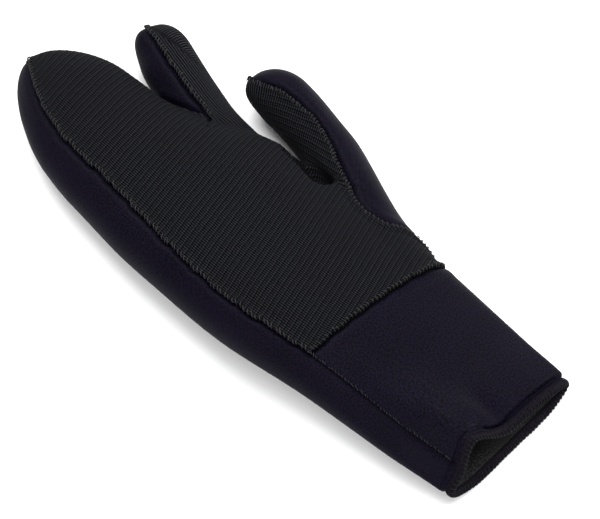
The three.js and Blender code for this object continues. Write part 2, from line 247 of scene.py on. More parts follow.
def section_point(name, y, degrees):
    """Point of a pocket's skin at one angle of its section, as x and z."""
    rows, cap = POCKETS[name], CAPS[name]
    y = np.minimum(y, rows["y"][-1] - 1)
    half, mid, up, down, power = section(rows, y)
    t = np.clip((y - (rows["y"][-1] - cap)) / cap, 0, 1)
    share = np.sqrt(np.maximum(1 - t * t, 0))
    c, s = np.cos(np.radians(degrees)), np.sin(np.radians(degrees))
    if "lean" in rows:
        up = arched(rows, y, up, c)
    reach = np.where(s > 0, up, down)
    x = column(rows, "x", y) + half * share * signed_power(c, 2 / power)
    z = mid + reach * share * signed_power(s, 2 / power)
    return np.stack([x, np.maximum(z, 0)], -1)


def seam_path(y):
    """Line between palm and back across the mitt at each y, as points of x and z."""
    def middle_of(name):
        rows = POCKETS[name]
        own = np.minimum(y, rows["y"][-1] - 1)
        middle = np.stack([column(rows, "x", own), column(rows, "mid", own)], -1)
        return middle, column(rows, "half", own)

    def seam_of(name):
        rows = POCKETS[name]
        return section_point(name, y, column(rows, "seam", np.minimum(y, rows["y"][-1] - 1)))

    def beyond(a, b, reach):
        return b + unit(b - a) * reach

    (body, body_half), (index, index_half), (thumb, thumb_half) = map(middle_of, POCKETS)
    body_seam, index_seam, thumb_seam = map(seam_of, POCKETS)
    on_cuff = (1 - smoothstep(y, *THENAR))[:, None]
    edge = body + np.stack([body_half, 0 * body_half], -1)
    thumb = thumb + (body + (edge - body) * 0.6 - thumb) * on_cuff
    thumb_seam = thumb_seam + (edge + [0, -2.5] - thumb_seam) * on_cuff
    index_split = smoothstep(y, *INDEX_FORK)[:, None]
    thumb_split = smoothstep(y, *THUMB_FORK)[:, None]
    wall = body[:, 0] + body_half
    crease = np.maximum((wall + index[:, 0] - index_half) / 2, wall + 0.5)
    gap = (index[:, 0] + index_half + thumb[:, 0] - thumb_half) / 2
    inner = [body + (thumb - body) * share for share in SHARES]

    def turn(i, target, split):
        return inner[i] + (target - inner[i]) * split

    underside = beyond(index, section_point("index", y, -40.0), PAST_UNDERSIDE)
    return np.stack([
        beyond(body, body_seam, PAST_SKIN),
        body_seam,
        body,
        turn(0, np.stack([crease, 0 * crease + 5], -1), index_split),
        turn(1, np.stack([crease, index_seam[:, 1] + PAST_SKIN - 2], -1), index_split),
        turn(2, beyond(index, index_seam, PAST_SKIN), index_split),
        turn(3, index_seam, index_split),
        turn(4, index, index_split),
        turn(5, underside, thumb_split),
        turn(6, np.stack([np.maximum(gap, underside[:, 0]), 0 * gap + GAP_Z], -1), thumb_split),
        turn(6, thumb + unit(thumb - thumb_seam) * UNDER_THUMB, thumb_split),
        thumb,
        thumb_seam,
        beyond(thumb, thumb_seam, PAST_SKIN),
    ], 1)


def palm_side(points):
    """Distance to the seam surface, positive on the palm's side."""
    path = seam_path(points[:, 1])
    own = points[:, [0, 2]][:, None, :]
    a, b = path[:, :-1], path[:, 1:]
    way = b - a
    share = np.clip(((own - a) * way).sum(-1) / np.maximum((way * way).sum(-1), 1e-9), 0, 1)
    away = np.linalg.norm(a + share[..., None] * way - own, axis=-1).min(1)
    roof = np.full(len(points), 150.0)
    loop = np.concatenate([
        path,
        np.stack([path[:, -1, 0], roof], -1)[:, None],
        np.stack([path[:, 0, 0], roof], -1)[:, None],
    ], 1)
    c, d = loop, np.roll(loop, -1, 1)
    px, pz = own[:, :, 0], own[:, :, 1]
    crosses = (c[..., 1] > pz) != (d[..., 1] > pz)
    rise = np.where(np.abs(d[..., 1] - c[..., 1]) < 1e-12, 1e-12, d[..., 1] - c[..., 1])
    hits = crosses & (px < (d[..., 0] - c[..., 0]) * (pz - c[..., 1]) / rise + c[..., 0])
    return np.where(hits.sum(1) % 2 == 1, away, -away)


def wrist_side(points):
    """Distance to the wrist seam, positive on the palm's side of it."""
    (ux, uy), (rx, ry) = WRIST["ulnar"], WRIST["radial"]
    slope = (ry - uy) / (rx - ux)
    straight = (points[:, 1] - (uy + slope * (points[:, 0] - ux))) / math.hypot(1, slope)
    return straight + 0.25 * np.sin(0.5 * points[:, 0])  # sewn edges wander a little


# ---- Meshing -----------------------------------------------------------------------------------

def surface(field, low, high, step):
    """Triangles of the surface where field is 0, one point for each cell that it passes."""
    xs, ys, zs = (np.arange(a, b + h, h) for a, b, h in zip(low, high, step))
    f = field(xs[:, None, None], ys[None, :, None], zs[None, None, :]).astype(np.float32)
    f = np.where(f == 0, 1e-6, f)
    inside = f < 0
    count = sum(
        inside[i: len(xs) - 1 + i, j: len(ys) - 1 + j, k: len(zs) - 1 + k].astype(np.int8)
        for i in (0, 1) for j in (0, 1) for k in (0, 1)
    )
    cells = np.argwhere((count > 0) & (count < 8))
    number = np.full(count.shape, -1, np.int64)
    number[tuple(cells.T)] = np.arange(len(cells))
    corners = np.array([(i, j, k) for i in (0, 1) for j in (0, 1) for k in (0, 1)])
    at = cells[:, None] + corners
    values = f[at[..., 0], at[..., 1], at[..., 2]]
    total, crossings = np.zeros((len(cells), 3)), np.zeros(len(cells))
    for a in range(8):
        for b in range(a + 1, 8):
            if np.abs(corners[a] - corners[b]).sum() != 1:
                continue
            cut = (values[:, a] < 0) != (values[:, b] < 0)
            t = np.where(cut, values[:, a] / np.where(cut, values[:, a] - values[:, b], 1), 0)
            total += cut[:, None] * (corners[a] + t[:, None] * (corners[b] - corners[a]))
            crossings += cut
    points = np.array(low) + (cells + total / crossings[:, None]) * np.array(step)
    faces = []
    for axis in range(3):
        u, v = (axis + 1) % 3, (axis + 2) % 3
        lower = np.moveaxis(inside, axis, 0)[:-1]
        upper = np.moveaxis(inside, axis, 0)[1:]
        edges = np.argwhere(np.moveaxis(lower != upper, 0, axis))
        keep = (edges[:, u] > 0) & (edges[:, v] > 0)
        keep &= (edges[:, u] < inside.shape[u] - 1) & (edges[:, v] < inside.shape[v] - 1)
        edges = edges[keep]
        ring = []
        for du, dv in ((0, 0), (1, 0), (1, 1), (0, 1)):
            cell = edges.copy()
            cell[:, u] -= du
            cell[:, v] -= dv
            ring.append(number[tuple(cell.T)])
        ring = np.stack(ring, 1)
        flip = inside[tuple(edges.T)]
        ring[~flip] = ring[~flip][:, ::-1]
        faces.append(ring)
    quads = np.concatenate(faces)
    first = np.linalg.norm(points[quads[:, 0]] - points[quads[:, 2]], axis=1)
    second = np.linalg.norm(points[quads[:, 1]] - points[quads[:, 3]], axis=1)
    near = first <= second
    order = np.where(near[:, None], [0, 1, 2, 0, 2, 3], [0, 1, 3, 1, 2, 3])
    return points, np.take_along_axis(quads, order, 1).reshape(-1, 3)


def gradient(field, points, reach=0.05):
    steps = np.eye(3) * reach
    return np.stack([
        (field(*(points + s).T) - field(*(points - s).T)) / (2 * reach) for s in steps
    ], 1)


def settled(field, points, rounds=3):
    """The points moved on to the surface where field is 0."""
    for _ in range(rounds):
        slope = gradient(field, points)
        size = np.maximum((slope * slope).sum(1), 0.05)
        points = points - slope * np.clip(field(*points.T) / size, -1.5, 1.5)[:, None]
    return points


def evened(points, faces, rounds):
    """The points moved towards the middle of their neighbours, which evens out the triangles."""
    pairs = np.concatenate([faces[:, [0, 1]], faces[:, [1, 2]], faces[:, [2, 0]]])
    for _ in range(rounds):
        total, count = np.zeros_like(points), np.zeros(len(points))
        for a, b in ((0, 1), (1, 0)):
            for k in range(3):
                total[:, k] += np.bincount(pairs[:, a], points[pairs[:, b], k], len(points))
            count += np.bincount(pairs[:, a], minlength=len(points))
        points = points * 0.5 + 0.5 * total / count[:, None]
    return points


def split(points, faces, value, snap=0.08):
    """Cuts the triangles along value = 0: the points, the faces and the value at each point."""
    value = np.where(np.abs(value) < snap, 0.0, value)
    sign = np.sign(value)
    edges = np.concatenate([faces[:, [0, 1]], faces[:, [1, 2]], faces[:, [2, 0]]])
    crossing = edges[sign[edges[:, 0]] * sign[edges[:, 1]] < 0]
    size = len(points)
    keys = np.unique(crossing.min(1) * size + crossing.max(1))
    a, b = keys // size, keys % size
    t = (value[a] / (value[a] - value[b]))[:, None]
    points = np.concatenate([points, points[a] * (1 - t) + points[b] * t])
    value = np.concatenate([value, np.zeros(len(keys))])

    def cut_point(p, q):
        return size + np.searchsorted(keys, np.minimum(p, q) * size + np.maximum(p, q))

    s = sign[faces]
    crossed = np.stack([s[:, 0] * s[:, 1], s[:, 1] * s[:, 2], s[:, 2] * s[:, 0]], 1) < 0
    number = crossed.sum(1)
    made = [faces[number == 0]]
    for k in range(3):
        once = (number == 1) & crossed[:, k]
        p, q, r = (faces[once][:, (k + i) % 3] for i in range(3))
        m = cut_point(p, q)
        made += [np.stack([p, m, r], 1), np.stack([m, q, r], 1)]
        twice = (number == 2) & ~crossed[:, (k + 1) % 3]
        p, q, r = (faces[twice][:, (k + i) % 3] for i in range(3))
        m, n = cut_point(p, q), cut_point(p, r)
        made += [np.stack([p, m, n], 1), np.stack([m, q, r], 1), np.stack([m, r, n], 1)]
    return points, np.concatenate(made), value


def largest(faces, size):
    """The faces of the largest connected part."""
    label = np.arange(size)
    for _ in range(400):
        low = label[faces].min(1)
        fresh = label.copy()
        for k in range(3):
            np.minimum.at(fresh, faces[:, k], low)
        fresh = fresh[fresh]
        if (fresh == label).all():
            break
        label = fresh
    home = label[faces[:, 0]]
    names, counts = np.unique(home, return_counts=True)
    return faces[home == names[counts.argmax()]]


def rims(faces):
    """Edges with one face, chained into loops of points."""
    edges = np.concatenate([faces[:, [0, 1]], faces[:, [1, 2]], faces[:, [2, 0]]])
    size = int(faces.max()) + 1
    forward, backward = edges[:, 0] * size + edges[:, 1], edges[:, 1] * size + edges[:, 0]
    single = edges[~np.isin(forward, backward)]
    onward = {}
    for a, b in single:
        onward.setdefault(int(a), []).append(int(b))
    loops = []
    while onward:
        start = next(iter(onward))
        loop, here = [start], start
        while onward.get(here):
            after = onward[here].pop()
            if not onward[here]:
                del onward[here]
            if after == start:
                break
            loop.append(after)
            here = after
        loops.append(loop)
    return sorted(loops, key=len, reverse=True)


# ---- Objects -----------------------------------------------------------------------------------

def object_from(name, points, faces, materials, face_materials=None, uv=None):
    """A smooth mesh object from points in the pattern's mm and faces of three or four points."""
    mesh = bpy.data.meshes.new(name)
    faces = np.asarray(faces)
    corners = faces.shape[1]
    mesh.vertices.add(len(points))
    mesh.vertices.foreach_set("co", ((points - PATTERN_ORIGIN) * MM).astype(np.float32).ravel())
    mesh.loops.add(faces.size)
    mesh.loops.foreach_set("vertex_index", faces.astype(np.int32).ravel())
    mesh.polygons.add(len(faces))
    mesh.polygons.foreach_set("loop_start", np.arange(0, faces.size, corners, dtype=np.int32))
    mesh.polygons.foreach_set("use_smooth", np.full(len(faces), True))
    for material in materials:
        mesh.materials.append(material)
    if face_materials is not None:
        mesh.polygons.foreach_set("material_index", np.asarray(face_materials, np.int32))
    if uv is not None:
        layer = mesh.uv_layers.new(name="cloth_mm")
        layer.data.foreach_set("uv", uv[faces.ravel()].astype(np.float32).ravel())
    mesh.update(calc_edges=True)
    mesh.validate()
    made = bpy.data.objects.new(name, mesh)
    bpy.context.scene.collection.objects.link(made)
    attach(made, "root")
    return made


# ---- Cloth coordinates -------------------------------------------------------------------------

def along_section(name, x, y, z):
    """Distance round a pocket's section from its top, in mm, growing to the thumb side."""
    rows = POCKETS[name]
    if name == "body":
        y = own_y(y, z)
    half, mid, up, down, power = section(rows, y)
    reach = np.where(z > mid, up, down)
    u, w = (x - column(rows, "x", y)) / half, (z - mid) / reach
    turn = np.pi / 2 - np.arctan2(signed_power(w, power / 2), signed_power(u, power / 2))
    turn = np.where(turn > np.pi, turn - 2 * np.pi, turn)
    total, steps, last = np.zeros_like(x), 24, None
    for i in range(steps + 1):
        a = np.pi / 2 - turn * i / steps
        c, s = np.cos(a), np.sin(a)
        px = half * signed_power(c, 2 / power)
        pz = np.where(s > 0, up, down) * signed_power(s, 2 / power)
        if last is not None:
            total = total + np.hypot(px - last[0], pz - last[1])
        last = (px, pz)
    return total * np.sign(turn), y


THUMB_LEAN = 0.42  # how far the courses of the thumb's piece slant
INDEX_START = 20.8  # where the index finger's rows are counted from


def palm_grain(around, own):
    """Across and along the knit of the palm: its courses turn a little towards the finger tips."""
    turn = np.radians(5 + 8 * (1 - smoothstep(own, -60, 110)))
    along = own * 0.985 - 0.00045 * (own - 20) ** 2 - around * np.sin(turn) - 0.00115 * (around + 38) ** 2
    # The lengthwise rows bend over from the fingers to the wrist
    held = np.clip(own, -75, 32)
    across = around - 0.0011 * (held + 5) ** 2 - 0.0022 * (held + 5) * (own - held)
    return np.stack([across, along], 1)


def cloth_coordinates(points):
    """Across and along the knit, in mm, and how much of each point belongs to each finger's knit."""
    x, y, z = points.T
    around, own = along_section("body", x, y, z)
    made = palm_grain(around + column(BODY, "x", own), own)
    # The rows of the index finger lie wider apart
    across, own = along_section("index", x, y, z)
    index_knit = np.stack([(across + INDEX_START + own * 0.06) * 0.75, own - across * 0.12], 1)
    nearer = pocket_distance("body", x, y, z) - pocket_distance("index", x, y, z)
    on_index = smoothstep(y, 40, 66) * smoothstep(nearer, -4, 6)
    # The thumb's knit is cut the other way: its courses run lengthwise, and it begins in the hollow
    across, own = along_section("thumb", x, y, z)
    thumb_knit = np.stack([(own - across * THUMB_LEAN) * 0.72, across + own * THUMB_LEAN], 1)
    beyond = x - np.minimum(33 + 0.27 * (y - 24), 40)
    on_thumb = smoothstep(np.minimum(beyond, y + 11 + 0.25 * (x - 27)), -0.8, 0.8)
    for knit, share in ((index_knit, on_index), (thumb_knit, on_thumb)):
        made = made * (1 - share[:, None]) + knit * share[:, None]
    return made, {"index": on_index, "thumb": on_thumb}


# ---- Materials ---------------------------------------------------------------------------------

def srgb(code):
    """Linear colour of an sRGB hex code such as #24222c."""
    parts = [int(code[i: i + 2], 16) / 255 for i in (1, 3, 5)]
    return tuple(p / 12.92 if p <= 0.04045 else ((p + 0.055) / 1.055) ** 2.4 for p in parts) + (1.0,)


def add(tree, kind, links=(), out=0, **settings):
    """Adds a node and returns one of its outputs. Links fill its inputs, by place or by name, with
    values or with other outputs."""
    node = tree.nodes.new("ShaderNode" + kind)
    for key, value in settings.items():
        setattr(node, key, value)
    for key, value in links.items() if isinstance(links, dict) else enumerate(links):
        socket = node.inputs[key]
        if isinstance(value, bpy.types.NodeSocket):
            tree.links.new(value, socket)
        else:
            socket.default_value = value
    return node.outputs[out]


def new_material(name):
    material = bpy.data.materials.new(name)
    material.use_nodes = True
    tree = material.node_tree
    return material, tree, tree.nodes["Principled BSDF"]


def wave(tree, coordinate, pitch):
    """A smooth wave from 0 to 1 along one coordinate in mm."""
    turn = add(tree, "Math", (coordinate, 2 * math.pi / pitch), operation="MULTIPLY")
    sine = add(tree, "Math", (turn,), operation="SINE")
    return add(tree, "Math", (sine, 0.5, 0.5), operation="MULTIPLY_ADD")


def ribbed_grip_knit(cloth):
    """Warp knit with raised cross ribs and a rubbery hand: thin grey ribs and a grid of black holes."""
    material, tree, shader = new_material("ribbed_grip_knit")
    place = add(tree, "UVMap", uv_map="cloth_mm")
    parts = add(tree, "SeparateXYZ", (place,)).node.outputs
    uneven = add(tree, "TexNoise", {"Vector": place, "Scale": 0.1, "Detail": 2.0}, noise_dimensions="2D")
    across, along = (
        add(tree, "Math", (uneven, 0.7, parts[k]), operation="MULTIPLY_ADD") for k in (0, 1)
    )
    # Every second course stands higher
    course = cloth.course_pitch / MM
    high = add(tree, "Math", (wave(tree, along, course), 1.6), operation="POWER")
    low = add(tree, "Math", (wave(tree, along, course / 2), 1.3), operation="POWER")
    rib = add(tree, "Mix", {0: 0.65, 2: high, 3: low})
    # On the index finger the lengthwise rows stand out, elsewhere the cross ribs
    finger = add(tree, "Attribute", out="Fac", attribute_name="index_share")
    rows = add(tree, "Math", (finger, 0.3, 0.55), operation="MULTIPLY_ADD")
    height = add(tree, "Mix", {0: rows, 2: rib, 3: wave(tree, across, cloth.wale_pitch / MM)})
    fuzz = add(tree, "TexNoise", {"Vector": place, "Scale": 1.3, "Detail": 3.0}, noise_dimensions="2D")
    lit = add(tree, "Math", (fuzz, 4.6, -0.5), operation="MULTIPLY_ADD")
    raised = add(tree, "Math", (height, 2.9), operation="POWER")
    shade = add(tree, "Math", (raised, lit), operation="MULTIPLY")
    ends = {6: srgb(cloth.knit_hole), 7: srgb(cloth.knit_rib)}
    colour = add(tree, "Mix", {0: shade, **ends}, out=2, data_type="RGBA")
    tree.links.new(colour, shader.inputs["Base Color"])
    bump = add(tree, "Bump", {"Strength": 0.9, "Distance": 0.3 * MM, "Height": height})
    tree.links.new(bump, shader.inputs["Normal"])
    shader.inputs["Roughness"].default_value = 0.75
    shader.inputs["IOR"].default_value = 1.5
    shader.inputs["Specular IOR Level"].default_value = 0.02
    shader.inputs["Sheen Weight"].default_value = 0.008
    shader.inputs["Sheen Roughness"].default_value = 0.5
    shader.inputs["Sheen Tint"].default_value = srgb("#9a9ca4")
    return material


def smooth_jersey(name, base, light, sheen, grain=0.9):
    """Nylon jersey laminated on foam: matt near-black with a violet cast, paler at a low angle."""
    material, tree, shader = new_material(name)
    place = add(tree, "UVMap", uv_map="cloth_mm")
    parts = add(tree, "SeparateXYZ", (place,)).node.outputs
    # Jersey stitches are about 0.4 mm; they are drawn at twice that so that they show
    across, along = wave(tree, parts[0], grain), wave(tree, parts[1], grain * 0.8)
    stitch = add(tree, "Math", (across, along), operation="MULTIPLY")
    fuzz = add(tree, "TexNoise", {"Vector": place, "Scale": 1.1, "Detail": 3.0, "Roughness": 0.7},
               noise_dimensions="2D")
    broad = add(tree, "TexNoise", {"Vector": place, "Scale": 0.035, "Detail": 2.0}, noise_dimensions="2D")
    # Fuzz, broad patches and stitches vary the shade about a middle of 0.42
    shade = 0.42 - 0.5 * (4.0 + 0.4)
    for part, share in ((stitch, 0.2), (broad, 0.4), (fuzz, 4.0)):
        shade = add(tree, "Math", (part, share, shade), operation="MULTIPLY_ADD")
    colour = add(tree, "Mix", {0: shade, 6: srgb(base), 7: srgb(light)}, out=2, data_type="RGBA")
    tree.links.new(colour, shader.inputs["Base Color"])
    height = add(tree, "Mix", {0: 0.5, 2: stitch, 3: fuzz})
    bump = add(tree, "Bump", {"Strength": 0.5, "Distance": 0.08 * MM, "Height": height})
    tree.links.new(bump, shader.inputs["Normal"])
    shader.inputs["Roughness"].default_value = 0.55
    shader.inputs["IOR"].default_value = 1.5
    shader.inputs["Specular IOR Level"].default_value = 0.03
    shader.inputs["Sheen Weight"].default_value = sheen
    shader.inputs["Sheen Roughness"].default_value = 0.45
    shader.inputs["Sheen Tint"].default_value = srgb("#8f8ba6")
    return material


def sewing_thread(name, colour):
    """Twisted polyester thread: soft grey with a faint shine and its own twist."""
    material, tree, shader = new_material(name)
    place = add(tree, "UVMap", uv_map="cloth_mm")
    parts = add(tree, "SeparateXYZ", (place,)).node.outputs
    slant = add(tree, "Math", (parts[0], parts[1]), operation="ADD")
    twist = wave(tree, slant, 0.5)
    spots = add(tree, "TexNoise", {"Vector": place, "Scale": 0.4, "Detail": 2.0}, noise_dimensions="2D")
    shade = add(tree, "Math", (twist, spots), operation="MULTIPLY")
    colour = add(tree, "Mix", {0: shade, 6: srgb("#0c0c0d"), 7: srgb(colour)}, out=2, data_type="RGBA")
    tree.links.new(colour, shader.inputs["Base Color"])
    bump = add(tree, "Bump", {"Strength": 0.6, "Distance": 0.1 * MM, "Height": twist})
    tree.links.new(bump, shader.inputs["Normal"])
    shader.inputs["Roughness"].default_value = 0.55
    shader.inputs["Specular IOR Level"].default_value = 0.12
    shader.inputs["Sheen Weight"].default_value = 0.03
    return material


def foam_edge():
    """Cut edge of foam rubber: black, dense and matt with fine closed cells."""
    material, tree, shader = new_material("cut_foam_rubber")
    place = add(tree, "TexCoord", out="Object")
    cells = add(tree, "TexVoronoi", {"Vector": place, "Scale": 1800.0})
    ends = {6: srgb("#020203"), 7: srgb("#08080a")}
    colour = add(tree, "Mix", {0: cells, **ends}, out=2, data_type="RGBA")
    tree.links.new(colour, shader.inputs["Base Color"])
    bump = add(tree, "Bump", {"Strength": 0.4, "Distance": 0.1 * MM, "Height": cells})
    tree.links.new(bump, shader.inputs["Normal"])
    shader.inputs["Roughness"].default_value = 0.9
    shader.inputs["Specular IOR Level"].default_value = 0.05
    return material


MADE = {}  # materials, made once each


def material_for(name, cloth):
    if name not in MADE:
        MADE[name] = {
            "ribbed": lambda: ribbed_grip_knit(cloth),
            "smooth": lambda: smooth_jersey(
                "smooth_nylon_foam", cloth.smooth_dark, cloth.smooth_light, 0.012),
            "hem": lambda: smooth_jersey("hem_foam", "#040305", "#131018", 0.01),
            "lining": lambda: smooth_jersey("nylon_lining", "#0e0e0f", "#2a2a2b", 0.01, 1.1),
            "foam": foam_edge,
            "thread": lambda: sewing_thread("seam_thread", cloth.thread_colour),
            "knot": lambda: sewing_thread("tied_thread", "#2b2c2d"),
            "hem_thread": lambda: sewing_thread("hem_thread", "#0b0a0c"),
        }[name]()
    return MADE[name]


# ---- Panels ------------------------------------------------------------------------------------

SHEET = {}  # the cut outer face: its points, and the edges that the stitches follow
FIELD_BOX = (-78, -176, -3), (82, 168, 48)  # all of the mitt, with room round it
RIB_PITCH = 3.1  # distance between the high cross ribs
# Ends of the sewing at the finger tips and at the wrist, where the thread is tied off
KNOTS = ((-19, 158, 22), (40, 130, 21), (53, 69, 24), (32, -80, 12))


def near(points, line, reach):
    """Distance from each point to the points of a line, up to reach."""
    if not len(line):
        return np.full(len(points), reach)
    tree = KDTree(len(line))
    for i, p in enumerate(line):
        tree.insert(p, i)
    tree.balance()
    return np.array([min(tree.find(p)[2], reach) for p in points])


def cut_panels(field, step):
    """A face of the mitt cut along its seams: its points and the faces of each panel."""
    points, faces = surface(field, *FIELD_BOX, step)
    points = settled(field, evened(settled(field, points, 2), faces, 2), 3)
    rim = own_y(points[:, 1], points[:, 2]) - CUT_Y
    points, faces, rim = split(points, faces, rim)
    faces = faces[rim[faces].sum(1) > 0]
    snap = 0.12 * min(step)
    side = palm_side(points)
    # Sewn edges wander a little
    x, y, z = points.T
    side = side + (0.22 * np.sin(0.31 * y + 0.4) + 0.16 * np.sin(0.52 * y + 0.11 * x + 2)
                   + 0.1 * np.sin(0.93 * y + 1)) * smoothstep(y, -90, -60) * (1 - smoothstep(y, 140, 152))
    points, faces, side = split(points, faces, side, snap)
    side_sum = side[faces].sum(1)
    back, front = faces[side_sum < 0], faces[side_sum >= 0]
    points, front, wrist = split(points, front, wrist_side(points), snap)
    above = wrist[front].sum(1) > 0
    panels = {"palm": front[above], "cuff": front[~above], "back": back}
    return points, {name: largest(f, len(points)) for name, f in panels.items()}


def zipped(outer, inner, points):
    """Faces between two loops of points, paired so that the strip between them stays short."""
    def turning(loop):
        arms = points[loop] - points[loop].mean(0)
        return np.cross(arms, np.roll(arms, -1, 0)).sum(0)

    if turning(outer) @ turning(inner) < 0:
        inner = inner[::-1]
    start = np.linalg.norm(points[outer] - points[outer].mean(0), axis=1).argmax()
    outer = np.roll(outer, -start)
    inner = np.roll(inner, -np.linalg.norm(points[inner] - points[outer[0]], axis=1).argmin())
    a, b = np.append(outer, outer[0]), np.append(inner, inner[0])
    n, m = len(outer), len(inner)
    # Cheapest walk through all pairs, by diagonals of equal i + j
    cost = np.full(m + 1, np.inf)
    cost[0] = 0.0
    by_outer = np.zeros((n + m + 1, m + 1), bool)
    for total in range(1, n + m + 1):
        j = np.arange(max(0, total - n), min(m, total) + 1)
        span = np.linalg.norm(points[a[total - j]] - points[b[j]], axis=1)
        from_outer = np.where(total - j >= 1, cost[j], np.inf)
        from_inner = np.where(j >= 1, cost[j - 1], np.inf)
        by_outer[total, j] = from_outer <= from_inner
        fresh = np.full(m + 1, np.inf)
        fresh[j] = span + np.minimum(from_outer, from_inner)
        cost = fresh
    faces, i, j = [], n, m
    while i or j:
        if by_outer[i + j, j]:
            faces.append((a[i], a[i - 1], b[j]))
            i -= 1
        else:
            faces.append((a[i], b[j - 1], b[j]))
            j -= 1
    return np.array(faces)


def closed(faces, loops):
    """The faces with a fan over each of the loops."""
    fans = [(loop[0], loop[k + 1], loop[k]) for loop in loops for k in range(1, len(loop) - 1)]
    return np.concatenate([faces, np.array(fans, int).reshape(-1, 3)])


def edge_lift(name, place, wrist_line, side_line, along, shares):
    """How far the outer face of a panel stands over the skin: sewn edges, ribs and the hem's crease."""
    to_wrist, to_side = near(place, wrist_line, 9.0), near(place, side_line, 9.0)
    own = own_y(place[:, 1], place[:, 2]) - CUT_Y
    crease = -(1.5 + 1.2 * smoothstep(place[:, 0], -34, -16)) * hump(own, 2.1, 0.9)
    crease = crease - 1.1 * (1 - smoothstep(own, 0.3, 1.9))
    # At the tips the sewn edges lie flat
    flat = 1 - 0.95 * sum(np.exp(-((place - tip) ** 2).sum(1) / 110) for tip in KNOTS[:3])
    if name == "palm":
        away = np.minimum(to_wrist, to_side)
        lip = (0.3 * hump(away, 0, 1.0) + 0.6 * hump(away, 1.7, 1.6) - 0.25 * hump(away, 4.6, 1.4)) * flat
        ribs = 0.04 * np.cos(2 * np.pi * along / RIB_PITCH) + 0.06 * np.cos(4 * np.pi * along / RIB_PITCH)
        ribs = ribs * (1 - 0.7 * shares["index"]) * (1 - shares["thumb"])
        return lip + ribs * smoothstep(away, 1.0, 3.0)
    if name == "cuff":
        under_palm = -2.3 * hump(to_wrist, 0, 1.7) + 0.25 * hump(to_wrist, 5.5, 2.5)
        return under_palm + 0.35 * hump(to_side, 1.4, 1.4) + crease
    groove = -2.1 * hump(to_wrist, 0, 1.5) - 0.9 * hump(to_side, 0, 1.7)
    groove = groove + 0.3 * hump(np.minimum(to_wrist, to_side), 4.5, 2.5)
    return groove * flat + crease


def make_panels(cloth):
    """The palm, the cuff and the back, each an outer face, a lining and the foam's edge between them."""
    depth = cloth.wall / MM - 0.2
    fine = (cloth.mesh_step / MM, cloth.mesh_step / MM / 2, cloth.mesh_step / MM)
    points, panels = cut_panels(skin, fine)
    broad_points, broad_panels = cut_panels(skin, (1.25, 1.25, 1.25))
    deep, linings = cut_panels(lambda x, y, z: skin(x, y, z, depth), (2.2, 2.2, 2.2))
    deep_uv, deep_shares = cloth_coordinates(deep)
    loops = {name: rims(f)[0] for name, f in panels.items()}
    at_rim = own_y(points[:, 1], points[:, 2]) < CUT_Y + 0.3
    at_wrist = np.abs(wrist_side(points)) < 0.15
    SHEET.update(points=points, loops=loops, at_rim=at_rim, at_wrist=at_wrist)
    palm_edge = [i for i in loops["palm"] if not at_rim[i]]
    wrist_edge = [i for i in palm_edge if at_wrist[i]]
    cuff_edge = [i for i in loops["cuff"] if not at_rim[i] and not at_wrist[i]]
    lines = {
        # The edges that lie against the palm or the cuff, and the other edges
        "palm": (wrist_edge, [i for i in palm_edge if not at_wrist[i]]),
        "cuff": (wrist_edge, cuff_edge),
        "back": (palm_edge, cuff_edge),
    }
    nodes = {"palm": ["palm_panel"], "cuff": ["cuff_panel"], "back": ["back_panel", "back_panel_thumb"]}
    for name in panels:
        # The back has no ribs and takes a broader mesh
        source, faces = (broad_points, broad_panels[name]) if name == "back" else (points, panels[name])
        used, local = np.unique(faces, return_inverse=True)
        place = source[used]
        local = local.reshape(-1, 3)
        local = closed(local, rims(local)[1:])
        first, second = (points[line] for line in lines[name])
        uv, shares = cloth_coordinates(place)
        lift = edge_lift(name, place, first, second, uv[:, 1], shares)
        outer = place + unit(gradient(skin, place)) * lift[:, None]
        low_used, low_local = np.unique(linings[name], return_inverse=True)
        low_local = low_local.reshape(-1, 3)
        low_local = closed(low_local, rims(low_local)[1:])[:, ::-1] + len(used)
        together = np.concatenate([outer, deep[low_used]])
        walls = zipped(np.array(rims(local)[0]), np.array(rims(low_local)[0]), together)
        all_faces = np.concatenate([local, walls, low_local])
        kinds = np.concatenate([np.zeros(len(local)), np.ones(len(walls)), np.full(len(low_local), 2)])
        outside = material_for("ribbed" if name == "palm" else "smooth", cloth)
        panel = object_from(
            f"mitt_{name}", laid(together), all_faces,
            [outside, material_for("foam", cloth), material_for("lining", cloth)], kinds,
            np.concatenate([uv, deep_uv[low_used]]),
        )
        on_index = np.concatenate([shares["index"], deep_shares["index"][low_used]])
        share = panel.data.attributes.new("index_share", "FLOAT", "POINT")
        share.data.foreach_set("value", on_index.astype(np.float32))
        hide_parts(*nodes[name])


def laid(points):
    """The points as the mitt lies: flat on the surface, the opening's upper lip sunk beside the arch."""
    x, y, z = points.T
    close = smoothstep(-y, 122, 158)
    upper = close * smoothstep(z, 5, 14)
    flat = upper * smoothstep(x, -24, -10)
    arch = upper * hump(x, -44, 10)
    moved = points.copy()
    moved[:, 1] += -1.6 * flat - 0.6 * arch
    moved[:, 2] += -2.0 * flat - 2.4 * arch
    # What would sink into the surface is pressed flat on it
    height = moved[:, 2]
    moved[:, 2] = np.where(height < 0.1, 0.05 + 0.04 * np.exp(np.minimum(height - 0.1, 0)), height)
    return moved


# ---- Seams -------------------------------------------------------------------------------------

def resampled(line, pitch):
    """Points along a line at an even pitch, after a light smoothing."""
    line = np.asarray(line, float)
    for _ in range(6):
        inner = (line[:-2] + line[2:]) / 2
        line[1:-1] = line[1:-1] * 0.5 + inner * 0.5
    steps = np.linalg.norm(np.diff(line, axis=0), axis=1)
    travelled = np.concatenate([[0], np.cumsum(steps)])
    count = max(2, int(travelled[-1] / pitch))
    at = np.linspace(0, travelled[-1], count + 1)
    return np.stack([np.interp(at, travelled, line[:, k]) for k in range(3)], 1)


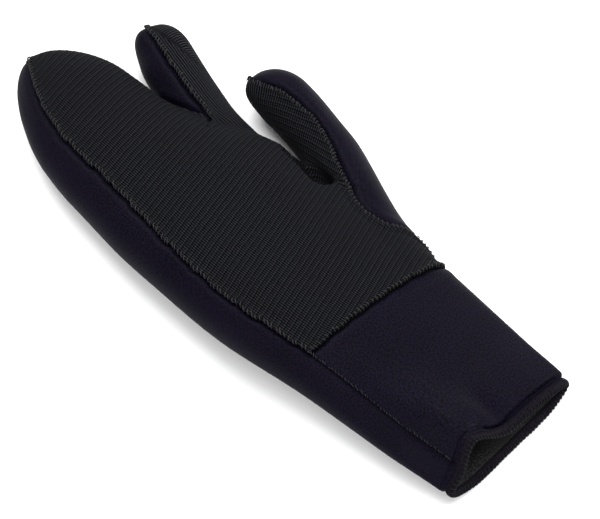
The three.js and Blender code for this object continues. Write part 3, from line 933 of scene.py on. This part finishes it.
def tube(path, radius, sides=6):
    """Rings round a path, closed with a point at each end. The radius is one number or one a ring."""
    along = unit(np.gradient(path, axis=0))
    across = unit(np.cross(along[0], [0.3, 0.5, 0.81]))
    angles = np.arange(sides)[:, None] * 2 * np.pi / sides
    n, points = len(path), []
    for p, t, r in zip(path, along, np.broadcast_to(radius, n)):
        across = unit(across - t * (across @ t))
        points.append(p + r * (np.cos(angles) * across + np.sin(angles) * np.cross(t, across)))
    points = np.concatenate(points + [path[:1] - along[:1] * 0.1, path[-1:] + along[-1:] * 0.1])
    faces = []
    for i in range(n - 1):
        for k in range(sides):
            a, b = i * sides + k, i * sides + (k + 1) % sides
            faces += [(a, b, b + sides), (a, b + sides, a + sides)]
    for k in range(sides):
        faces.append((n * sides, (k + 1) % sides, k))
        faces.append((n * sides + 1, (n - 1) * sides + k, (n - 1) * sides + (k + 1) % sides))
    return points, np.array(faces)


def thread_object(name, parts, material):
    """One object of many tubes, with cloth coordinates that run along the threads."""
    points, faces, uv, count = [], [], [], 0
    for p, f in parts:
        points.append(p)
        faces.append(f + count)
        uv.append(np.stack([np.arange(len(p)) * 0.21, np.arange(len(p)) // 6 * 0.4], 1))
        count += len(p)
    points, faces, uv = (np.concatenate(each) for each in (points, faces, uv))
    return object_from(name, points, faces, [material], None, uv)


def with_frame(line):
    """For each point of a line on the skin: the way ahead, the way to its left and the normal."""
    up = unit(gradient(skin, line))
    ahead = unit(np.gradient(line, axis=0))
    return ahead, np.cross(up, ahead), up


def slanted_stitches(line, reach, slant, radius, height, rng, sewn=None):
    """Threads across an edge, from reach[0] mm left of it to reach[1] mm right of it."""
    ahead, left, up = with_frame(line)
    t = np.linspace(0, 1, 7)[:, None]
    parts = []
    for i in range(len(line) - 1):
        if sewn is not None and not sewn[i]:
            continue
        loose = rng.normal(0, 1, 5)
        across = (reach[0] + 0.3 * loose[0]) * (1 - t) - reach[1] * t
        over = height * (1 - 0.9 * smoothstep(t, 0.62, 1.0)) - 0.9 * smoothstep(-t, -0.12, 0.0)
        over = over + (0.3 + 0.08 * loose[1]) * np.sin(np.pi * t) - 0.5 * smoothstep(t, 0.8, 1.0)
        run = slant * (1 + 0.35 * loose[4]) * (t - 0.5) + 0.3 * loose[2]
        path = line[i] + left[i] * across + ahead[i] * run + up[i] * over
        # Each thread thins out where it goes into the cloth
        thick = radius * (1 + 0.12 * loose[3]) * (0.7 + 0.3 * np.sin(np.pi * t[:, 0]))
        parts.append(tube(laid(path), thick))
    return parts


def runs_of(loop, keep):
    """The stretches of a loop of points whose keep is true, as lines."""
    loop, keep = np.asarray(loop), np.asarray(keep)
    if keep.all():
        return [np.append(loop, loop[0])]
    start = int(np.argmin(keep))
    loop, keep = np.roll(loop, -start), np.roll(keep, -start)
    where = np.flatnonzero(keep)
    runs = np.split(where, np.flatnonzero(np.diff(where) > 1) + 1)
    return [loop[run] for run in runs if len(run) > 20]


def make_seams(cloth):
    """The overcast stitches round the palm, and the finer ones along the cuff's side seams."""
    rng = np.random.default_rng(5)
    points, at_wrist, at_rim = SHEET["points"], SHEET["at_wrist"], SHEET["at_rim"]
    thread = material_for("thread", cloth)
    pitch = cloth.stitch_pitch / MM
    palm, cuff = np.array(SHEET["loops"]["palm"]), np.array(SHEET["loops"]["cuff"])
    parts = []
    for run in runs_of(palm, ~at_wrist[palm]):
        line = resampled(points[run], pitch)
        # The large pocket's own edge beside the index finger is closed with the index finger's seam
        x, y = line[:, 0], line[:, 1]
        wall = column(BODY, "x", y) + column(BODY, "half", y)
        beside = (y > 58) & (y < 150) & (x > 0) & (x < wall + 1.2)
        parts += slanted_stitches(line, (1.9, 0.35), 1.5, 0.28, 0.72, rng, ~beside)
    for run in runs_of(palm, at_wrist[palm]):
        line = resampled(points[run], pitch * 0.92)
        parts += slanted_stitches(line, (1.5, 0.4), 0.7, 0.27, 0.75, rng)
    sewn = thread_object("palm_seam_stitches", parts, thread)
    parts = []
    for run in runs_of(cuff, ~at_wrist[cuff] & ~at_rim[cuff]):
        line = resampled(points[run], pitch * 0.8)
        inland = own_y(line[:, 1], line[:, 2]) > CUT_Y + 4
        parts += slanted_stitches(line, (0.9, 0.0), 1.4, 0.16, 0.3, rng, inland)
    sewn = thread_object("cuff_seam_stitches", parts, thread)


def make_knots(cloth):
    """The small heaps of loops where the thread is tied off."""
    rng = np.random.default_rng(11)
    edge = SHEET["points"][SHEET["loops"]["palm"]]
    parts = []
    for spot in KNOTS:
        middle = edge[np.linalg.norm(edge - spot, axis=1).argmin()]
        up = unit(gradient(skin, middle[None])[0])
        for k in range(5):
            axis = unit(rng.normal(0, 1, 3))
            side = unit(np.cross(axis, up))
            a = np.linspace(0, 2 * np.pi * 0.93, 14)[:, None]
            loop = (0.75 + 0.3 * k / 4) * (np.cos(a) * side + np.sin(a) * np.cross(axis, side))
            parts.append(tube(middle + up * 0.5 + loop + axis * (a - 3) * 0.12, 0.36))
    knots = thread_object("tip_knots", parts, material_for("knot", cloth))


# ---- Hem ---------------------------------------------------------------------------------------

# Middle of the roll under the cuff's skin and before the cuff's edge, and its radius
HEM_INSET, HEM_MIDDLE, HEM_RADIUS = 2.4, 2.3, 2.2


def hem_point(degrees, turn, radius):
    """Point of the rolled hem: degrees round the opening, turn round the roll."""
    inset = HEM_INSET + radius * np.cos(turn)
    y = RIM_Y + HEM_MIDDLE * (1 + np.sin(turn) * radius / HEM_RADIUS)
    half, mid, up, down, power = section(BODY, y)
    c, s = np.cos(np.radians(degrees)), np.sin(np.radians(degrees))
    reach = np.where(s > 0, arched(BODY, y, up - inset, c), down - inset)
    x = column(BODY, "x", y) + (half - inset) * signed_power(c, 2 / power)
    z = np.maximum(mid + reach * signed_power(s, 2 / power), np.maximum(inset, 0))
    return laid(np.stack([x, y + column(BODY, "slant", y) * (z - RIM_PIVOT_Z), z], -1).reshape(-1, 3))


def even_degrees(pitch):
    """Angles round the opening at an even distance along the roll."""
    dense = np.linspace(0, 360, 1441)
    line = hem_point(dense, np.full(dense.shape, 1.5 * np.pi), HEM_RADIUS)
    travelled = np.concatenate([[0], np.cumsum(np.linalg.norm(np.diff(line, axis=0), axis=1))])
    count = int(round(travelled[-1] / pitch))
    return np.interp(np.arange(count) * travelled[-1] / count, travelled, dense)


def make_hem(cloth):
    """The roll round the opening: a closed tube, drawn in a little by each of its stitches."""
    profile, per_stitch = 22, 6
    pitch = cloth.hem_pitch / MM / per_stitch
    degrees = even_degrees(pitch)
    around = len(degrees)
    k, j = np.meshgrid(np.arange(around), np.arange(profile), indexing="ij")
    turn = 2 * np.pi * j / profile
    stitched = hump(np.mod(turn - np.radians(265) + np.pi, 2 * np.pi) - np.pi, 0, 0.9)
    # Each stitch pulls the roll in, between small cushions
    pulled = 0.22 * stitched * np.cos(2 * np.pi * k / per_stitch)
    swing = 0.1 * np.sin(2 * np.pi * k * 5 / around) + 0.08 * np.sin(2 * np.pi * k * 13 / around + 2)
    points = hem_point(degrees[k], turn, HEM_RADIUS + pulled + swing)
    a, b = k * profile + j, k * profile + (j + 1) % profile
    c, d = (k + 1) % around * profile + j, (k + 1) % around * profile + (j + 1) % profile
    faces = np.stack([a, c, d, b], -1).reshape(-1, 4)
    uv = np.stack([(k * pitch).ravel(), (j * 0.75).ravel()], 1)
    hem = object_from("cuff_hem", points, faces, [material_for("hem", cloth)], None, uv)
    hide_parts("cuff_roll")


def make_hem_stitches(cloth):
    """The thread that runs over the roll and into the crease beside it."""
    rng = np.random.default_rng(3)
    degrees = even_degrees(cloth.hem_pitch / MM)
    step = np.diff(np.append(degrees, 360))
    t = np.linspace(0, 1, 8)
    parts = []
    for angle, wide in zip(degrees, step):
        turn = np.radians(205 + 125 * t + rng.normal(0, 4))
        lift = HEM_RADIUS - 0.1 + 0.1 * np.sin(np.pi * t) + rng.normal(0, 0.03)
        parts.append(tube(hem_point(angle + wide * (0.5 + 0.3 * (t - 0.5)), turn, lift), 0.17))
    sewn = thread_object("hem_stitches", parts, material_for("hem_thread", cloth))


# ---- The add-on --------------------------------------------------------------------------------

class MittCloth(bpy.types.PropertyGroup):
    """Sizes and colours of the mitt's cloth."""
    wall: bpy.props.FloatProperty(
        name="Wall", description="Thickness of the foam rubber",
        default=0.005, unit="LENGTH",
    )
    mesh_step: bpy.props.FloatProperty(
        name="Mesh step", description="Size of the facets of the panels",
        default=0.0011, unit="LENGTH", precision=5,
    )
    course_pitch: bpy.props.FloatProperty(
        name="Course pitch", description="Distance between the high cross ribs",
        default=0.0031, unit="LENGTH", precision=5,
    )
    wale_pitch: bpy.props.FloatProperty(
        name="Wale pitch", description="Distance between the lengthwise rows",
        default=0.0011, unit="LENGTH", precision=5,
    )
    hem_pitch: bpy.props.FloatProperty(
        name="Hem pitch", description="Distance between the stitches of the hem",
        default=0.0021, unit="LENGTH", precision=5,
    )
    stitch_pitch: bpy.props.FloatProperty(
        name="Stitch pitch", description="Distance between the stitches of the seams",
        default=0.0024, unit="LENGTH", precision=5,
    )
    knit_rib: bpy.props.StringProperty(
        name="Knit rib", description="Colour of the raised ribs", default="#242529",
    )
    knit_hole: bpy.props.StringProperty(
        name="Knit hole", description="Colour between the ribs", default="#020203",
    )
    smooth_dark: bpy.props.StringProperty(
        name="Smooth dark", description="Darker colour of the smooth cloth", default="#020104",
    )
    smooth_light: bpy.props.StringProperty(
        name="Smooth light", description="Lighter colour of the smooth cloth", default="#110e1c",
    )
    thread_colour: bpy.props.StringProperty(
        name="Thread", description="Colour of the stitches", default="#4e4d4d",
    )


class MittView(bpy.types.PropertyGroup):
    """Where the camera stands, and its lens."""
    azimuth: bpy.props.FloatProperty(
        name="Azimuth", description="Angle of the camera round the mitt",
        default=math.radians(-47), subtype="ANGLE",
    )
    elevation: bpy.props.FloatProperty(
        name="Elevation", description="Angle of the camera above the surface",
        default=math.radians(55), subtype="ANGLE",
    )
    distance: bpy.props.FloatProperty(
        name="Distance", description="Distance of the camera", default=1.3, unit="LENGTH",
    )
    lens: bpy.props.FloatProperty(name="Lens", description="Focal length in millimetres", default=161.5)


class MITT_OT_panels(bpy.types.Operator):
    """Builds the ribbed palm, the smooth back and the cuff."""
    bl_idname = "mitt.panels"
    bl_label = "Foam panels"

    def execute(self, context):
        make_panels(context.scene.mitt_cloth)
        return {"FINISHED"}


class MITT_OT_hem(bpy.types.Operator):
    """Builds the rolled hem of the cuff."""
    bl_idname = "mitt.hem"
    bl_label = "Rolled hem"

    def execute(self, context):
        make_hem(context.scene.mitt_cloth)
        return {"FINISHED"}


class MITT_OT_seams(bpy.types.Operator):
    """Builds the stitches of the seams."""
    bl_idname = "mitt.seams"
    bl_label = "Seam stitches"

    def execute(self, context):
        make_seams(context.scene.mitt_cloth)
        return {"FINISHED"}


class MITT_OT_knots(bpy.types.Operator):
    """Builds the tied ends of the sewing at the tips and at the wrist."""
    bl_idname = "mitt.knots"
    bl_label = "Tied thread ends"

    def execute(self, context):
        make_knots(context.scene.mitt_cloth)
        return {"FINISHED"}


class MITT_OT_hem_stitches(bpy.types.Operator):
    """Builds the stitches round the hem."""
    bl_idname = "mitt.hem_stitches"
    bl_label = "Hem stitches"

    def execute(self, context):
        make_hem_stitches(context.scene.mitt_cloth)
        return {"FINISHED"}


class MITT_OT_stage(bpy.types.Operator):
    """Makes the pale floor, the studio light and the camera."""
    bl_idname = "mitt.stage"
    bl_label = "Stage"

    def execute(self, context):
        make_stage(context.scene.mitt_view)
        return {"FINISHED"}


class MITT_PT_sidebar(bpy.types.Panel):
    """Lists the steps of the mitt."""
    bl_label = "Diving mitt"
    bl_idname = "MITT_PT_sidebar"
    bl_space_type = "VIEW_3D"
    bl_region_type = "UI"
    bl_category = "Mitt"

    def draw(self, context):
        for step in STEPS:
            self.layout.operator(step.bl_idname)
        for name in ("wall", "mesh_step", "course_pitch", "wale_pitch", "stitch_pitch"):
            self.layout.prop(context.scene.mitt_cloth, name)


def make_stage(view):
    """The pale floor, four round lamps and the camera of the photo."""
    half = 6.0  # metres from the floor's middle to its sides
    floor = bpy.data.meshes.new("floor")
    corners = [(-half, -half, 0), (half, -half, 0), (half, half, 0), (-half, half, 0)]
    floor.from_pydata(corners, [], [(0, 1, 2, 3)])
    surface_object = bpy.data.objects.new("studio_floor", floor)
    bpy.context.scene.collection.objects.link(surface_object)
    material, tree, shader = new_material("painted_studio_floor")
    place = add(tree, "TexCoord", out="Object")
    soft = add(tree, "TexNoise", {"Vector": place, "Scale": 3.0, "Detail": 2.0})
    ends = {6: srgb("#f2f2f2"), 7: srgb("#f8f8f8")}
    colour = add(tree, "Mix", {0: soft, **ends}, out=2, data_type="RGBA")
    tree.links.new(colour, shader.inputs["Base Color"])
    shader.inputs["Roughness"].default_value = 0.9
    shader.inputs["Specular IOR Level"].default_value = 0.1
    floor.materials.append(material)
    world = bpy.data.worlds.new("studio")
    world.use_nodes = True
    back = world.node_tree.nodes["Background"]
    back.inputs[0].default_value = (1, 1, 1, 1)
    back.inputs[1].default_value = 0.55
    bpy.context.scene.world = world
    # The lamps' places and sizes in metres, and their power in watts; all aim at the mitt's middle
    for name, spot, size, power in (
        ("key", (0.3, 0.95, 1.5), 1.2, 31),
        ("fill", (-1.2, -0.7, 0.9), 1.2, 18),
        ("top", (-0.3, -0.1, 1.8), 1.0, 6),
        ("edge", (1.25, -0.55, 0.8), 0.9, 22),
    ):
        lamp = bpy.data.lights.new(name, "AREA")
        lamp.shape = "DISK"
        lamp.size = size
        lamp.energy = power
        holder = bpy.data.objects.new(name, lamp)
        holder.location = spot
        holder.rotation_euler = (-Vector(spot)).to_track_quat("-Z", "Y").to_euler()
        bpy.context.scene.collection.objects.link(holder)
    camera = bpy.data.cameras.new("camera")
    camera.lens = view.lens
    camera.sensor_width = 36
    camera.clip_end = 50
    holder = bpy.data.objects.new("camera", camera)
    target = Vector((-11.85, -24.19, 20)) * MM  # the point in the middle of the picture
    a, e = view.azimuth, view.elevation
    back_way = Vector((math.sin(a) * math.cos(e), -math.cos(a) * math.cos(e), math.sin(e)))
    holder.location = target + back_way * view.distance
    holder.rotation_euler = (-back_way).to_track_quat("-Z", "Y").to_euler()
    bpy.context.scene.collection.objects.link(holder)
    bpy.context.scene.camera = holder
    bpy.context.scene.view_settings.view_transform = "Standard"


STEPS = (MITT_OT_panels, MITT_OT_hem, MITT_OT_hem_stitches, MITT_OT_seams, MITT_OT_knots, MITT_OT_stage)
CLASSES = (MittCloth, MittView, *STEPS, MITT_PT_sidebar)


def register():
    for cls in CLASSES:
        bpy.utils.register_class(cls)
    bpy.types.Scene.mitt_cloth = bpy.props.PointerProperty(type=MittCloth)
    bpy.types.Scene.mitt_view = bpy.props.PointerProperty(type=MittView)


def unregister():
    del bpy.types.Scene.mitt_view
    del bpy.types.Scene.mitt_cloth
    for cls in reversed(CLASSES):
        bpy.utils.unregister_class(cls)


def main():
    register()
    for step in STEPS:
        group, name = step.bl_idname.split(".")
        getattr(getattr(bpy.ops, group), name)()


if __name__ == "__main__":
    main()
